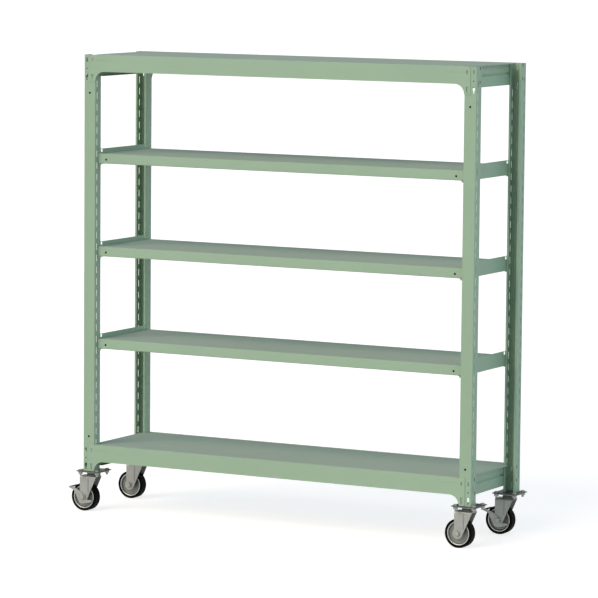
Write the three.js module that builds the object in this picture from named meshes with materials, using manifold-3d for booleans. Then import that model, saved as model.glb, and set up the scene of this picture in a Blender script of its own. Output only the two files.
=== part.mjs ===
// A steel rack on four swivel casters: slotted channel posts, long beams with rounded gussets, side beams,
// two decks, three tray shelves between side rails, and casters of which two have a foot brake.
// Millimetres, +Z up, X along the width, Y from front to rear. The origin is on the floor, in the middle of
// the whole object's footprint.
import * as THREE from "three";
import { mergeVertices } from "three/addons/utils/BufferGeometryUtils.js";
import Module from "manifold-3d";

const wasm = await Module();
wasm.setup();

// Driving sizes of the rack.
const RACK_WIDTH = 1860;
const RACK_DEPTH = 475;
const POST_HEIGHT = 1800;
const BOTTOM_TIER_HEIGHT = 116; // deck surface above the post foot
const SHELF_PITCH = 400;
const UPPER_SHELF_DROP = 424; // from the top deck to the upper shelf
const SHELF_NAMES = ["upper", "middle", "lower"];

// Gap that touching pieces keep, and how far a cutting tool runs past a wall on each side.
const SEAT = 0.3;
const CUT_PAST = 4;

// Post: a lipped channel, open towards the middle of the rack.
const POST = { web: 55, depth: 48, lip: 9.4, sheet: 1.6, bend: 1.3 };
const POST_SLOT = { pitch: 50, first: 75, length: 29, width: 5, fromWeb: 16 };
const HOLE_COLUMN = 14.5; // hole columns either side of the middle of the web
const POST_HOLES = {
  topSlot: { drop: 13, width: 7, height: 18 },
  topKey: { drop: 82, head: 10.5, width: 5, height: 27, neck: 15, cut: 2.6 },
  topRound: { drop: 163.5, radius: 3 },
  footKey: { rise: 36, head: 10.5, width: 5, height: 28, neck: 16, cut: 2.6 },
  footSlot: { rise: 102, width: 7, height: 16 },
  footRound: { rise: 152, radius: 3 },
};

// Long beams: one pressed face with its end plates, gussets and hooks, and a stepped channel behind it.
const BEAM = { height: 72, sheet: 2, bend: 3, land: 12, step: 22, ledge: 20, flange: 26, lip: 12 };
const END_PLATE = { fromSide: 27.8, height: 115, gusset: 43 };
const BEAD = { start: 68, length: 70, height: 4, rise: 1.7, drop: 25.5 };
const HOOK_ROOT = 3; // how far a hook's root runs up into the end plate

// Side beams: a rolled web with a groove along the middle.
const SIDE_BEAM = { height: 92, sheet: 2, bend: 1.8, topFlange: 18, foot: 21, end: 31 };
const GROOVE = { drop: 44, half: 6, depth: 6.5 };
const SIDE_HOLE = { radius: 5.5, fromEnd: 29 };

// Decks and shelves. The stiffeners lie at a share of the rack's depth from the middle.
const DECK = { sheet: 1.6, side: 34, rim: 4.6, hemClear: 0.6 };
const SHELF = { edge: 42, sheet: 1.5, bend: 1.8, lip: 13, inset: 22 };
const SHELF_HOLE = { fromSide: 97, drop: 24.5, radius: 3 };
const STIFFENER = { width: 46, foot: 12, height: 17, sheet: 1.2, bend: 1.6, fromEnd: 55 };
const STIFFENER_SHARE = 0.21;
const RAIL = { rise: 20, sheet: 1.5, bend: 1.8, foot: 20 };
const RAIL_WINDOW = { start: 24.5, width: 13, height: 12, drop: 2.4 };

// Casters: sizes are measured down from the post foot and out from the swivel axis.
const CASTER_INSET = 41.5; // swivel axis behind the post's web
const TOP_PLATE = { size: 106, sheet: 2.4, corner: 9 };
const FOOT_PLATE = { margin: 4, sheet: 3, corner: 5 };
const BOLT = { fromEdge: 11.5, shank: 5, head: 9.8, headHeight: 6.4, nutHeight: 8, end: 22 };
const RACE = { radius: 30.5, waist: 27.5, bottom: 24.7, chamfer: 4 };
const KINGPIN = { radius: 7, head: 11, headHeight: 5.5, chamfer: 2 };
const FORK = { top: 25, width: 51, sheet: 3, bend: 7, rear: 55.7, front: 27, lobe: 22.5 };
const WHEEL = { radius: 61, width: 42, shoulder: 3, rim: 51, trail: 39.6, drop: 119 };
const DISC = { rimWidth: 38, rimWall: 4, web: 15, hub: 12, hubFlare: 5, dish: 5 };
const AXLE = { radius: 6, washer: 13, washerSheet: 1.6, head: 11, headHeight: 7.5 };
const PEDAL = { sheet: 2.5, treadSheet: 2.6 };

// How many straight pieces stand for each kind of curve.
const SEGMENTS = {
  wheel: 20, pin: 12, axle: 10, hole: 6, hex: 6, gusset: 6, lobe: 10, arm: 2, bend: 1, forkBend: 2,
};

const FOOT_HEIGHT = WHEEL.drop + WHEEL.radius; // post foot above the floor
const SHELF_TIERS = SHELF_NAMES.map((_, i) => POST_HEIGHT - UPPER_SHELF_DROP - i * SHELF_PITCH);

// Colours read off the rack: sage green paint, zinc, dull zinc and black rubber.
const PAINT = { color: 0x9ab398, roughness: 0.45, metalness: 0.1 };
const BOARD_PAINT = { color: 0x9db49a, roughness: 0.35, metalness: 0.1 };
const ZINC = { color: 0xa6a59b, roughness: 0.42, metalness: 0.75 };
const DULL_ZINC = { color: 0x8c8b82, roughness: 0.5, metalness: 0.7 };
const RUBBER = { color: 0x171716, roughness: 0.75, metalness: 0 };

// Closed geometry to solid and back.
function solid(geometry) {
  const bare = geometry.index ? geometry.toNonIndexed() : geometry.clone();
  bare.deleteAttribute("normal");
  bare.deleteAttribute("uv");
  const merged = mergeVertices(bare);
  return new wasm.Manifold(
    new wasm.Mesh({
      numProp: 3,
      vertProperties: merged.attributes.position.array,
      triVerts: new Uint32Array(merged.index.array),
    }),
  );
}

function geometryOf(body) {
  const made = body.getMesh();
  const geometry = new THREE.BufferGeometry();
  geometry.setAttribute("position", new THREE.BufferAttribute(made.vertProperties, made.numProp));
  geometry.setIndex(new THREE.BufferAttribute(made.triVerts, 1));
  const flat = geometry.toNonIndexed();
  flat.computeVertexNormals();
  return flat;
}

const joined = (pieces) => pieces.map(solid).reduce((a, b) => a.add(b));
const carve = (body, tools) => tools.map(solid).reduce((a, b) => a.subtract(b), body);

// A shape's prism, centred on the origin along the axis that its plane leaves free.
const PLANES = {
  xy: [[1, 0, 0], [0, 1, 0], [0, 0, 1]],
  yz: [[0, 1, 0], [0, 0, 1], [1, 0, 0]],
  xz: [[1, 0, 0], [0, 0, 1], [0, -1, 0]],
};

function prism(shape, length, plane, curveSegments = SEGMENTS.bend) {
  const geometry = new THREE.ExtrudeGeometry(shape, { depth: length, bevelEnabled: false, curveSegments });
  const axes = PLANES[plane].map((axis) => new THREE.Vector3(...axis));
  return geometry.translate(0, 0, -length / 2).applyMatrix4(new THREE.Matrix4().makeBasis(...axes));
}

const outline = (points) => new THREE.Shape(points.map(([u, v]) => new THREE.Vector2(u, v)));
const rectangle = (u0, v0, u1, v1) => outline([[u0, v0], [u1, v0], [u1, v1], [u0, v1]]);

// Section of a folded sheet: the path is the middle of the sheet, and each corner is bent to a radius.
function foldedSheet(points, sheet, bend, steps = SEGMENTS.bend) {
  const corners = points.map(([u, v]) => new THREE.Vector2(u, v));
  const path = [corners[0]];
  for (let i = 1; i < corners.length - 1; i++) {
    const back = corners[i - 1].clone().sub(corners[i]).normalize();
    const ahead = corners[i + 1].clone().sub(corners[i]).normalize();
    const half = back.angleTo(ahead) / 2;
    const reach = bend / Math.tan(half);
    const middle = back.clone().add(ahead).normalize().multiplyScalar(bend / Math.sin(half)).add(corners[i]);
    const from = corners[i].clone().addScaledVector(back, reach).sub(middle);
    const to = corners[i].clone().addScaledVector(ahead, reach).sub(middle);
    const sweep = Math.atan2(from.cross(to), from.dot(to));
    for (let s = 0; s <= steps; s++) {
      path.push(from.clone().rotateAround(new THREE.Vector2(), (sweep * s) / steps).add(middle));
    }
  }
  path.push(corners[corners.length - 1]);
  const sides = [1, -1].map((side) =>
    path.map((point, i) => {
      const before = point.clone().sub(path[Math.max(i - 1, 0)]).normalize();
      const after = path[Math.min(i + 1, path.length - 1)].clone().sub(point).normalize();
      const along = before.clone().add(after).normalize();
      const mitre = Math.max(along.dot(before), along.dot(after));
      const normal = new THREE.Vector2(-along.y, along.x);
      return point.clone().addScaledVector(normal, (side * sheet) / 2 / mitre);
    }),
  );
  return new THREE.Shape([...sides[0], ...sides[1].reverse()]);
}

// Square outline with cut corners, centred on the origin.
function cutSquare(size, corner) {
  const far = size / 2;
  const near = far - corner;
  return outline([
    [near, -far], [far, -near], [far, near], [near, far],
    [-near, far], [-far, near], [-far, -near], [-near, -far],
  ]);
}

const mesh = (name, geometry, look) => {
  const made = new THREE.Mesh(geometry, new THREE.MeshStandardMaterial(look));
  made.name = name;
  return made;
};

function place(object, x, y, z, turn = 0) {
  object.position.set(x, y, z);
  object.rotation.z = turn;
  return object;
}

// Holes that hooks pass through, drawn with the top at v = 0 and smaller all round by the slack. A keyhole
// has a wide head that narrows to a foot.
function keyhole({ head, width, height, neck, cut }, slack = 0) {
  const wide = head / 2 - slack;
  const narrow = width / 2 - slack;
  return outline([
    [-wide, -cut], [-wide, cut - neck], [-narrow, -neck - cut], [-narrow, slack - height],
    [narrow, slack - height], [narrow, -neck - cut], [wide, cut - neck], [wide, -cut],
    [wide - cut, -slack], [cut - wide, -slack],
  ]);
}

const slot = ({ width, height }, slack = 0) =>
  rectangle(slack - width / 2, slack - height, width / 2 - slack, -slack);

// Cutting tools that run past both faces of a wall of the given sheet.
const webTool = (shape, sheet, x, y, z) => prism(shape, sheet + CUT_PAST * 2, "xz").translate(x, y, z);
const roundTool = (radius, sheet, sides) =>
  new THREE.CylinderGeometry(radius, radius, sheet + CUT_PAST * 2, sides);

// Heights of the post's holes above its foot.
const TOP_HOLES = [
  { shape: slot, size: POST_HOLES.topSlot, z: POST_HEIGHT - POST_HOLES.topSlot.drop },
  { shape: keyhole, size: POST_HOLES.topKey, z: POST_HEIGHT - POST_HOLES.topKey.drop },
];
const FOOT_HOLES = [
  { shape: keyhole, size: POST_HOLES.footKey, z: POST_HOLES.footKey.rise },
  { shape: slot, size: POST_HOLES.footSlot, z: POST_HOLES.footSlot.rise },
];
const ROUND_HOLES = [
  { radius: POST_HOLES.topRound.radius, z: POST_HEIGHT - POST_HOLES.topRound.drop },
  { radius: POST_HOLES.footRound.radius, z: POST_HOLES.footRound.rise },
];

// Post, with its foot at z = 0, the web's outer face at y = 0 and x = 0 in the middle of the web.
function postGeometry() {
  const side = (POST.web - POST.sheet) / 2;
  const back = POST.depth - POST.sheet / 2;
  const lipEnd = side - POST.lip + POST.sheet / 2;
  const web = POST.sheet / 2;
  const section = foldedSheet(
    [[-lipEnd, back], [-side, back], [-side, web], [side, web], [side, back], [lipEnd, back]],
    POST.sheet, POST.bend,
  );
  const tools = [];
  const lastSlot = POST_HEIGHT - POST_SLOT.pitch / 2 - POST_SLOT.length;
  for (let z = POST_SLOT.first; z < lastSlot; z += POST_SLOT.pitch) {
    const tool = new THREE.BoxGeometry(POST.web + CUT_PAST, POST_SLOT.width, POST_SLOT.length);
    tools.push(tool.translate(0, POST_SLOT.fromWeb, z));
  }
  for (const x of [-HOLE_COLUMN, HOLE_COLUMN]) {
    for (const { shape, size, z } of [...TOP_HOLES, ...FOOT_HOLES]) {
      tools.push(webTool(shape(size), POST.sheet, x, web, z));
    }
  }
  for (const { radius, z } of ROUND_HOLES) {
    tools.push(roundTool(radius, POST.sheet, SEGMENTS.hole).translate(0, web, z));
  }
  return geometryOf(carve(solid(prism(section, POST_HEIGHT, "xy").translate(0, 0, POST_HEIGHT / 2)), tools));
}

// Hook lanced from an end plate: it passes back through the post's hole, whose shape it has, and hangs down
// behind the web. z = 0 is at the top of the hole and y = 0 at the outer face of the post.
function hookPieces(shape, size) {
  const width = size.width - SEAT * 2;
  const face = -SEAT - BEAM.sheet;
  const behind = POST.sheet + SEAT;
  const bridge = behind + BEAM.sheet - face;
  return [
    new THREE.BoxGeometry(width, BEAM.sheet, HOOK_ROOT + SEAT + BEAM.sheet)
      .translate(0, face + BEAM.sheet / 2, (HOOK_ROOT - SEAT - BEAM.sheet) / 2),
    new THREE.BoxGeometry(width, bridge, BEAM.sheet).translate(0, face + bridge / 2, -SEAT - BEAM.sheet / 2),
    prism(shape(size, SEAT), BEAM.sheet, "xz").translate(0, behind + BEAM.sheet / 2, 0),
  ];
}

// Long beam, with its top at z = 0 and y = 0 at the outer face of the posts. The holes continue the
// inner column of the posts' holes through the end plates, each with its hook.
function longBeamGeometry(holes, topHeight) {
  const half = RACK_WIDTH / 2;
  const end = half - END_PLATE.fromSide;
  const inner = half - POST.web - SEAT;
  const gussetEnd = half - POST.web - END_PLATE.gusset;
  const low = -END_PLATE.height;
  const face = new THREE.Shape();
  face.moveTo(-end, -BEAM.bend);
  face.lineTo(-end, low);
  face.lineTo(-half + POST.web, low);
  face.absarc(-gussetEnd, low, END_PLATE.gusset, Math.PI, Math.PI / 2, true);
  face.absarc(gussetEnd, low, END_PLATE.gusset, Math.PI / 2, 0, true);
  face.lineTo(end, low);
  face.lineTo(end, -BEAM.bend);
  face.lineTo(end - BEAM.bend, 0);
  face.lineTo(-end + BEAM.bend, 0);
  const front = -SEAT - BEAM.sheet / 2;
  const top = -BEAM.sheet / 2;
  const bottom = -BEAM.height + BEAM.sheet / 2;
  const landEnd = front + BEAM.land;
  const section = foldedSheet(
    [
      [front + BEAM.flange, bottom + BEAM.lip], [front + BEAM.flange, bottom], [front, bottom], [front, top],
      [landEnd, top], [landEnd, top - BEAM.step], [landEnd + BEAM.ledge, top - BEAM.step],
    ],
    BEAM.sheet, BEAM.bend,
  );
  const pieces = [
    prism(face, BEAM.sheet, "xz", SEGMENTS.gusset).translate(0, front, 0),
    prism(section, inner * 2, "yz"),
  ];
  const hooks = [];
  const tools = [];
  for (const side of [-1, 1]) {
    const bead = new THREE.BoxGeometry(BEAD.length, BEAM.sheet, BEAD.height);
    const middle = half - BEAD.start - BEAD.length / 2;
    pieces.push(bead.translate(side * middle, front - BEAD.rise, -BEAD.drop));
    const x = side * (half - POST.web / 2 - HOLE_COLUMN);
    for (const { shape, size, z } of holes) {
      tools.push(webTool(shape(size), BEAM.sheet, x, front, z - topHeight));
      hooks.push(...hookPieces(shape, size).map((piece) => piece.translate(x, 0, z - topHeight)));
    }
  }
  return geometryOf(carve(joined(pieces), tools).add(joined(hooks)));
}

// Side beam of the left side, with its top at z = 0, x = 0 at the outer side face of the posts and y = 0 in
// the middle. The web lies against the inner faces of the posts, and the top flange passes between them.
function sideBeamGeometry() {
  const web = POST.web + SEAT + SIDE_BEAM.sheet / 2;
  const top = -DECK.sheet - SEAT - SIDE_BEAM.sheet / 2;
  const bottom = -SIDE_BEAM.height + SIDE_BEAM.sheet / 2;
  const section = foldedSheet(
    [
      [web - SIDE_BEAM.topFlange, top], [web, top], [web, GROOVE.half - GROOVE.drop],
      [web + GROOVE.depth, -GROOVE.drop], [web, -GROOVE.drop - GROOVE.half], [web, bottom],
      [web + SIDE_BEAM.foot, bottom],
    ],
    SIDE_BEAM.sheet, SIDE_BEAM.bend,
  );
  const length = RACK_DEPTH - SIDE_BEAM.end * 2;
  const clear = RACK_DEPTH / 2 - POST.depth - SEAT;
  const holeY = length / 2 - SIDE_HOLE.fromEnd;
  const tools = [];
  for (const side of [-1, 1]) {
    const notch = new THREE.BoxGeometry(POST.web, POST.depth, SIDE_BEAM.height);
    tools.push(notch.translate(POST.web / 2, side * (clear + POST.depth / 2), -SIDE_BEAM.height / 2));
    const hole = roundTool(SIDE_HOLE.radius, GROOVE.depth + SIDE_BEAM.sheet, SEGMENTS.hole);
    tools.push(hole.rotateZ(Math.PI / 2).translate(web + GROOVE.depth / 2, side * holeY, -GROOVE.drop));
  }
  return geometryOf(carve(solid(prism(section, length, "xz")), tools));
}

// Stiffening channels fused under a panel whose underside is at the given height. The panel ends at ±end.
function stiffeners(end, underside) {
  const high = underside - STIFFENER.sheet / 2;
  const low = underside - STIFFENER.height + STIFFENER.sheet / 2;
  const half = STIFFENER.width / 2;
  const section = foldedSheet(
    [
      [-half - STIFFENER.foot, high], [-half, high], [-half + STIFFENER.foot / 2, low],
      [half - STIFFENER.foot / 2, low], [half, high], [half + STIFFENER.foot, high],
    ],
    STIFFENER.sheet, STIFFENER.bend,
  );
  const length = (end - STIFFENER.fromEnd) * 2;
  const y = RACK_DEPTH * STIFFENER_SHARE;
  return [-y, y].map((at) => prism(section, length, "yz").translate(0, at, 0));
}

// Deck: a panel notched round the posts, with deep front and rear hems that stand on the long beams' ledges
// and a shallow rim over the side beams.
function deckGeometry() {
  const halfX = RACK_WIDTH / 2 - DECK.side;
  const postX = RACK_WIDTH / 2 - POST.web - DECK.hemClear;
  const postY = RACK_DEPTH / 2 - POST.depth - DECK.hemClear;
  const halfY = RACK_DEPTH / 2 - BEAM.land - BEAM.bend + BEAM.sheet / 2; // clear of the bend at the ledge
  const panel = outline([
    [-halfX, -postY], [-postX, -postY], [-postX, -halfY], [postX, -halfY], [postX, -postY], [halfX, -postY],
    [halfX, postY], [postX, postY], [postX, halfY], [-postX, halfY], [-postX, postY], [-halfX, postY],
  ]);
  const pieces = [prism(panel, DECK.sheet, "xy").translate(0, 0, -DECK.sheet / 2)];
  const hem = BEAM.step - SEAT;
  for (const side of [-1, 1]) {
    const edge = new THREE.BoxGeometry(postX * 2, DECK.sheet, hem);
    pieces.push(edge.translate(0, side * (halfY - DECK.sheet / 2), -hem / 2));
    const rim = new THREE.BoxGeometry(DECK.sheet, postY * 2, DECK.rim);
    pieces.push(rim.translate(side * (halfX - DECK.sheet / 2), 0, -DECK.rim / 2));
  }
  return geometryOf(joined([...pieces, ...stiffeners(postX, -DECK.sheet)]));
}

// Shelf: a tray with deep front and rear edges that return inwards along the bottom.
function shelfGeometry() {
  const halfX = RACK_WIDTH / 2 - POST.web - SEAT - RAIL.sheet / 2 - RAIL.bend; // clear of the rails' bend
  const front = RACK_DEPTH / 2 - SHELF.inset - SHELF.sheet / 2;
  const top = -SHELF.sheet / 2;
  const bottom = -SHELF.edge + SHELF.sheet / 2;
  const lipEnd = front - SHELF.lip;
  const section = foldedSheet(
    [[-lipEnd, bottom], [-front, bottom], [-front, top], [front, top], [front, bottom], [lipEnd, bottom]],
    SHELF.sheet, SHELF.bend,
  );
  const holeX = RACK_WIDTH / 2 - SHELF_HOLE.fromSide;
  const holes = [-holeX, holeX].flatMap((x) =>
    [-front, front].map((y) =>
      roundTool(SHELF_HOLE.radius, SHELF.sheet, SEGMENTS.hole).translate(x, y, -SHELF_HOLE.drop),
    ),
  );
  const tray = joined([prism(section, halfX * 2, "yz"), ...stiffeners(halfX, -SHELF.sheet)]);
  return geometryOf(carve(tray, holes));
}

// Shelf side rail of the left side: x = 0 at the outer side face of the posts, z = 0 at the shelf surface.
function railGeometry() {
  const web = POST.web + SEAT + RAIL.sheet / 2;
  const bottom = -SHELF.edge - SEAT - RAIL.sheet / 2;
  const path = [[web, RAIL.rise], [web, bottom], [web + RAIL.foot, bottom]];
  const length = RACK_DEPTH - SHELF.inset * 2;
  const y = length / 2 - RAIL_WINDOW.start - RAIL_WINDOW.width / 2;
  const z = RAIL.rise - RAIL_WINDOW.drop - RAIL_WINDOW.height / 2;
  const through = RAIL.sheet + CUT_PAST * 2;
  const windows = [-y, y].map((at) =>
    new THREE.BoxGeometry(through, RAIL_WINDOW.width, RAIL_WINDOW.height).translate(web, at, z),
  );
  return geometryOf(carve(solid(prism(foldedSheet(path, RAIL.sheet, RAIL.bend), length, "xz")), windows));
}

// Caster pieces. The origin is on the swivel axis at the height of the post foot.
const boltPlace = TOP_PLATE.size / 2 - BOLT.fromEdge;
const BOLT_PLACES = [-boltPlace, boltPlace].flatMap((x) => [-boltPlace, boltPlace].map((y) => [x, y]));
const plateBottom = -SEAT - FOOT_PLATE.sheet;
const casterPlateBottom = plateBottom - SEAT - TOP_PLATE.sheet;
const footPlateSize = TOP_PLATE.size + FOOT_PLATE.margin * 2;

const upright = (geometry) => geometry.rotateX(Math.PI / 2);

// Foot plate of a post with the four bolts and nuts that clamp the caster.
function footPlateGeometry() {
  const plate = prism(cutSquare(footPlateSize, FOOT_PLATE.corner), FOOT_PLATE.sheet, "xy");
  const pieces = [plate.translate(0, 0, -SEAT - FOOT_PLATE.sheet / 2)];
  const nutTop = casterPlateBottom - SEAT;
  for (const [x, y] of BOLT_PLACES) {
    const head = upright(new THREE.CylinderGeometry(BOLT.head, BOLT.head, BOLT.headHeight, SEGMENTS.hex));
    const nut = upright(new THREE.CylinderGeometry(BOLT.head, BOLT.head, BOLT.nutHeight, SEGMENTS.hex));
    const shank = upright(new THREE.CylinderGeometry(BOLT.shank, BOLT.shank, BOLT.end, SEGMENTS.hex));
    pieces.push(
      head.translate(x, y, -SEAT + BOLT.headHeight / 2),
      nut.translate(x, y, nutTop - BOLT.nutHeight / 2),
      shank.translate(x, y, -BOLT.end / 2),
    );
  }
  return geometryOf(joined(pieces));
}

function casterPlateGeometry() {
  const plate = prism(cutSquare(TOP_PLATE.size, TOP_PLATE.corner), TOP_PLATE.sheet, "xy");
  const tools = BOLT_PLACES.map(([x, y]) =>
    upright(roundTool(BOLT.shank + SEAT, TOP_PLATE.sheet, SEGMENTS.hex)).translate(x, y, 0),
  );
  tools.push(upright(roundTool(KINGPIN.radius + SEAT, TOP_PLATE.sheet, SEGMENTS.pin)));
  return geometryOf(carve(solid(plate), tools).translate(0, 0, casterPlateBottom + TOP_PLATE.sheet / 2));
}

const turned = (points, segments) =>
  new THREE.LatheGeometry(points.map(([r, h]) => new THREE.Vector2(r, h)), segments);

// Housing of the two ball races: a pressed cup above and one below, with a waist between them.
function raceGeometry() {
  const bore = KINGPIN.radius + SEAT;
  const top = casterPlateBottom - SEAT;
  const bottom = -RACE.bottom;
  const middle = (top + bottom) / 2;
  return upright(turned(
    [
      [bore, bottom], [RACE.radius - RACE.chamfer, bottom], [RACE.radius, bottom + RACE.chamfer],
      [RACE.waist, middle], [RACE.radius, top - RACE.chamfer], [RACE.radius, top], [bore, top],
      [bore, bottom],
    ],
    SEGMENTS.pin,
  ));
}

function kingpinGeometry() {
  const shoulder = -FORK.top - FORK.sheet - SEAT;
  const low = shoulder - KINGPIN.headHeight;
  return upright(turned(
    [
      [0, low], [KINGPIN.head - KINGPIN.chamfer, low], [KINGPIN.head, low + KINGPIN.chamfer],
      [KINGPIN.head, shoulder], [KINGPIN.radius, shoulder], [KINGPIN.radius, plateBottom - SEAT],
      [0, plateBottom - SEAT],
    ],
    SEGMENTS.pin,
  ));
}

// Fork: an inverted channel with bent shoulders, trimmed to the legs' side outline: upright behind, slanting
// in front, with a round lobe at the axle.
function forkGeometry() {
  const half = (FORK.width - FORK.sheet) / 2;
  const low = -WHEEL.drop - FORK.lobe * 2;
  const channel = foldedSheet(
    [[-half, low], [-half, -FORK.top - FORK.sheet / 2], [half, -FORK.top - FORK.sheet / 2], [half, low]],
    FORK.sheet, FORK.bend, SEGMENTS.forkBend,
  );
  const joinAt = Math.acos((-FORK.rear + WHEEL.trail) / FORK.lobe);
  const toCorner = Math.atan2(WHEEL.drop - FORK.top, FORK.front + WHEEL.trail);
  const distance = Math.hypot(WHEEL.drop - FORK.top, FORK.front + WHEEL.trail);
  const tangent = toCorner - Math.acos(FORK.lobe / distance);
  const side = new THREE.Shape();
  side.moveTo(FORK.front, -FORK.top + SEAT);
  side.lineTo(-FORK.rear, -FORK.top + SEAT);
  side.absarc(-WHEEL.trail, -WHEEL.drop, FORK.lobe, joinAt, tangent + Math.PI * 2, false);
  const blank = solid(prism(channel, (FORK.rear + FORK.front) * 2, "yz"));
  const trimmed = blank.intersect(solid(prism(side, FORK.width + CUT_PAST * 2, "xz", SEGMENTS.lobe)));
  return geometryOf(carve(trimmed, [
    upright(roundTool(KINGPIN.radius + SEAT, FORK.sheet, SEGMENTS.pin)).translate(0, 0, -FORK.top),
    roundTool(AXLE.radius + SEAT, FORK.width, SEGMENTS.axle).translate(-WHEEL.trail, 0, -WHEEL.drop),
  ]));
}

// Axle bolt with washers outside the fork, or outside the brake's arms. It lies on the y axis.
function axleGeometry(braked) {
  const inner = FORK.width / 2 + SEAT + (braked ? PEDAL.sheet + SEAT : 0);
  const outer = inner + AXLE.washerSheet;
  const pin = turned(
    [
      [0, -outer], [AXLE.washer, -outer], [AXLE.washer, -inner], [AXLE.radius, -inner],
      [AXLE.radius, inner], [AXLE.washer, inner], [AXLE.washer, outer], [0, outer],
    ],
    SEGMENTS.axle,
  );
  const capHeight = AXLE.headHeight + AXLE.washerSheet;
  const caps = [-1, 1].map((side) =>
    new THREE.CylinderGeometry(AXLE.head, AXLE.head, capHeight, SEGMENTS.hex)
      .translate(0, side * (inner + capHeight / 2), 0),
  );
  return geometryOf(joined([pin, ...caps]));
}

// Pressed wheel disc: hub, dished web and rim, the same on both sides.
function discGeometry() {
  const bore = AXLE.radius + SEAT * 2;
  const hubEnd = FORK.width / 2 - FORK.sheet - SEAT;
  const rimInner = WHEEL.rim - DISC.rimWall;
  const half = [
    [bore, hubEnd], [DISC.hub, hubEnd], [DISC.hub + DISC.hubFlare, DISC.web / 2],
    [rimInner - DISC.dish, DISC.web / 2], [rimInner, DISC.rimWidth / 2], [WHEEL.rim, DISC.rimWidth / 2],
  ];
  const other = half.map(([r, h]) => [r, -h]);
  return turned([...other, ...half.reverse(), other[0]], SEGMENTS.wheel);
}

function tyreGeometry() {
  const inner = WHEEL.rim + SEAT;
  const half = WHEEL.width / 2;
  const shoulder = half - WHEEL.shoulder;
  return turned(
    [
      [inner, -half], [WHEEL.radius - WHEEL.shoulder, -half], [WHEEL.radius, -shoulder],
      [WHEEL.radius, shoulder], [WHEEL.radius - WHEEL.shoulder, half], [inner, half], [inner, -half],
    ],
    SEGMENTS.wheel,
  );
}

// Brake pedal: two arm plates on the axle, one either side of the fork, and a tread across them behind the
// tyre. Sizes run from the axle, back and up.
const ARM = {
  tipBack: 70, tipUp: 37, treadFront: 50, treadUp: 43.5, edgeBack: 46, edgeUp: 28, backOut: 12, backUp: 25,
  hub: 14, heelBack: 17, heelDown: 23, toeFront: 46, toeTop: 11, toeDown: 21, belly: 29,
};

function pedalGeometry() {
  const arm = new THREE.Shape();
  arm.moveTo(-ARM.tipBack, ARM.tipUp);
  arm.lineTo(-ARM.edgeBack, ARM.edgeUp);
  arm.lineTo(-ARM.heelBack, -ARM.heelDown);
  arm.quadraticCurveTo(-ARM.hub, -ARM.belly, 0, -ARM.belly);
  arm.lineTo(ARM.toeFront - ARM.hub / 2, -ARM.toeDown);
  arm.quadraticCurveTo(ARM.toeFront, -ARM.toeDown, ARM.toeFront, -ARM.toeTop);
  arm.lineTo(ARM.hub, -ARM.toeTop);
  arm.absarc(0, 0, ARM.hub, 0, Math.PI / 2, false);
  arm.lineTo(-ARM.backOut, ARM.backUp);
  arm.lineTo(-ARM.treadFront, ARM.treadUp);
  arm.lineTo(-ARM.tipBack, ARM.tipUp + PEDAL.treadSheet);
  const out = FORK.width / 2 + SEAT;
  const arms = [-1, 1].map((side) =>
    prism(arm, PEDAL.sheet, "xz", SEGMENTS.arm).translate(0, side * (out + PEDAL.sheet / 2), 0),
  );
  const tread = outline([
    [-ARM.tipBack, ARM.tipUp], [-ARM.treadFront, ARM.treadUp - PEDAL.treadSheet],
    [-ARM.treadFront, ARM.treadUp], [-ARM.tipBack, ARM.tipUp + PEDAL.treadSheet],
  ]);
  const bore = roundTool(AXLE.radius + SEAT, (out + PEDAL.sheet) * 2, SEGMENTS.axle);
  return geometryOf(carve(joined([...arms, prism(tread, (out + PEDAL.sheet) * 2, "xz")]), [bore]));
}

// Assembly.
const part = new THREE.Group();
part.name = "mobile_rack";
const rack = new THREE.Group();
part.add(rack);

// The rack stands off the footprint's middle, because the brake pedal reaches further than the foot plates.
const pedalReach = WHEEL.trail + ARM.tipBack - POST.web / 2;
const plateReach = footPlateSize / 2 - POST.web / 2;
rack.position.set((pedalReach - plateReach) / 2, 0, 0);

const halfWidth = RACK_WIDTH / 2;
const halfDepth = RACK_DEPTH / 2;
const corners = [
  { name: "front_left", x: -1, y: -1, braked: true },
  { name: "front_right", x: 1, y: -1, braked: false },
  { name: "rear_left", x: -1, y: 1, braked: false },
  { name: "rear_right", x: 1, y: 1, braked: true },
];

const post = postGeometry();
const footPlate = footPlateGeometry();
const casterPlate = casterPlateGeometry();
const race = raceGeometry();
const kingpin = kingpinGeometry();
const fork = forkGeometry();
const disc = discGeometry();
const tyre = tyreGeometry();
const pedal = pedalGeometry();

for (const { name, x, y, braked } of corners) {
  const postX = x * (halfWidth - POST.web / 2);
  const turn = y < 0 ? 0 : Math.PI;
  rack.add(place(mesh("post_" + name, post, PAINT), postX, y * halfDepth, FOOT_HEIGHT, turn));
  const caster = place(new THREE.Group(), postX, y * (halfDepth - CASTER_INSET), FOOT_HEIGHT);
  caster.add(
    mesh("foot_plate_" + name, footPlate, ZINC),
    mesh("caster_plate_" + name, casterPlate, ZINC),
    mesh("ball_race_" + name, race, ZINC),
    mesh("kingpin_" + name, kingpin, ZINC),
    mesh("fork_" + name, fork, ZINC),
  );
  const wheel = place(new THREE.Group(), -WHEEL.trail, 0, -WHEEL.drop);
  wheel.add(
    mesh("axle_" + name, axleGeometry(braked), ZINC),
    mesh("wheel_disc_" + name, disc, DULL_ZINC),
    mesh("tyre_" + name, tyre, RUBBER),
  );
  if (braked) wheel.add(mesh("brake_pedal_" + name, pedal, ZINC));
  caster.add(wheel);
  rack.add(caster);
}

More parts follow.
